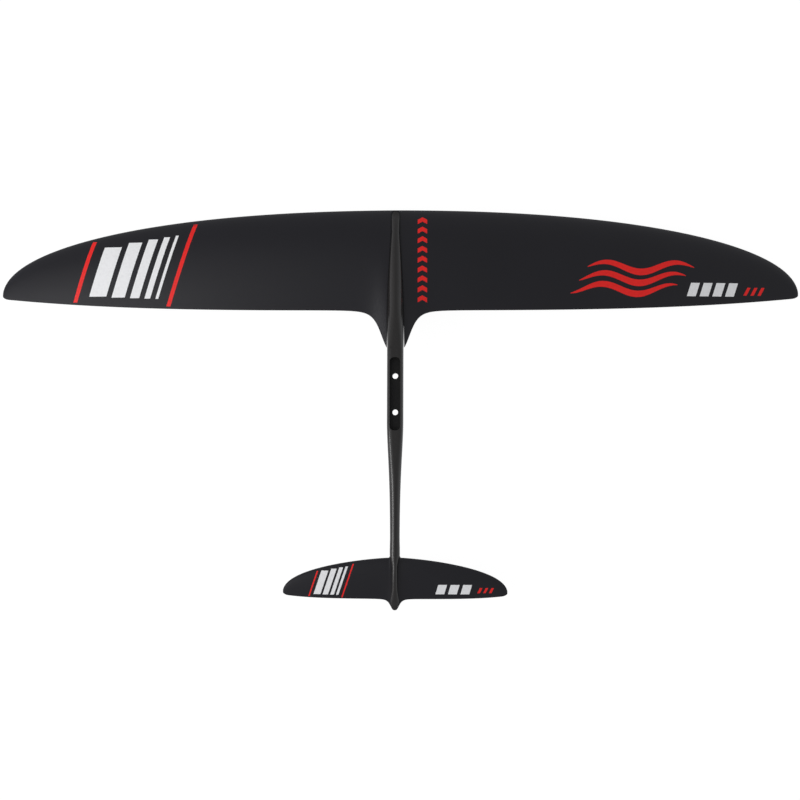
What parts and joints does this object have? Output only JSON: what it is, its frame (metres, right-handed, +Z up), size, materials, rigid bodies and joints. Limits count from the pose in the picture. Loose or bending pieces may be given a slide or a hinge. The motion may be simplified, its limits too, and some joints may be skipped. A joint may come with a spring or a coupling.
{
  "type": "hydrofoil wing set",
  "caption": "Hydrofoil front wing and small rear stabiliser, bolted under a slim fuselage that has a slotted socket for the mast.",
  "frame": {"origin": "centre of the mast socket's floor, midway between the mast bolt holes", "axes": "+Z up out of the socket towards the board, +Y towards the nose of the front wing, +X to starboard"},
  "size_m": [1.35, 0.6622, 0.0671],
  "materials": {
    "wing_carbon": "satin black carbon laminate",
    "fuselage_carbon": "semi-gloss dark carbon laminate",
    "light_core": "raw light core",
    "dense_laminate": "solid carbon laminate",
    "aluminium": "machined",
    "black_aluminium": "black anodised",
    "brass": "machined",
    "stainless_steel": "machined stainless steel"
  },
  "bodies": {
    "root": {"boom_core": "dense_laminate", "front_wing_1_ferrule": "stainless_steel", "front_wing_1_insert": "brass", "front_wing_1_screw": "stainless_steel", "front_wing_2_ferrule": "stainless_steel", "front_wing_2_insert": "brass", "front_wing_2_screw": "stainless_steel", "front_wing_3_ferrule": "stainless_steel", "front_wing_3_insert": "brass", "front_wing_3_screw": "stainless_steel", "front_wing_lower_skin": "wing_carbon", "front_wing_nose_core_left": "light_core", "front_wing_nose_core_right": "light_core", "front_wing_root_block": "dense_laminate", "front_wing_spar_left": "dense_laminate", "front_wing_spar_right": "dense_laminate", "front_wing_tail_core_left": "light_core", "front_wing_tail_core_right": "light_core", "front_wing_upper_skin": "wing_carbon", "fuselage_lower_shell": "fuselage_carbon", "fuselage_upper_shell": "fuselage_carbon", "mast_block": "black_aluminium", "mast_bush_front": "stainless_steel", "mast_bush_rear": "stainless_steel", "nose_thread_block": "aluminium", "stabilizer_1_ferrule": "stainless_steel", "stabilizer_1_insert": "brass", "stabilizer_1_screw": "stainless_steel", "stabilizer_2_ferrule": "stainless_steel", "stabilizer_2_insert": "brass", "stabilizer_2_screw": "stainless_steel", "stabilizer_core_left": "light_core", "stabilizer_core_right": "light_core", "stabilizer_lower_skin": "wing_carbon", "stabilizer_root_block": "dense_laminate", "stabilizer_upper_skin": "wing_carbon", "tail_thread_block": "aluminium"}
  },
  "joints": []
}
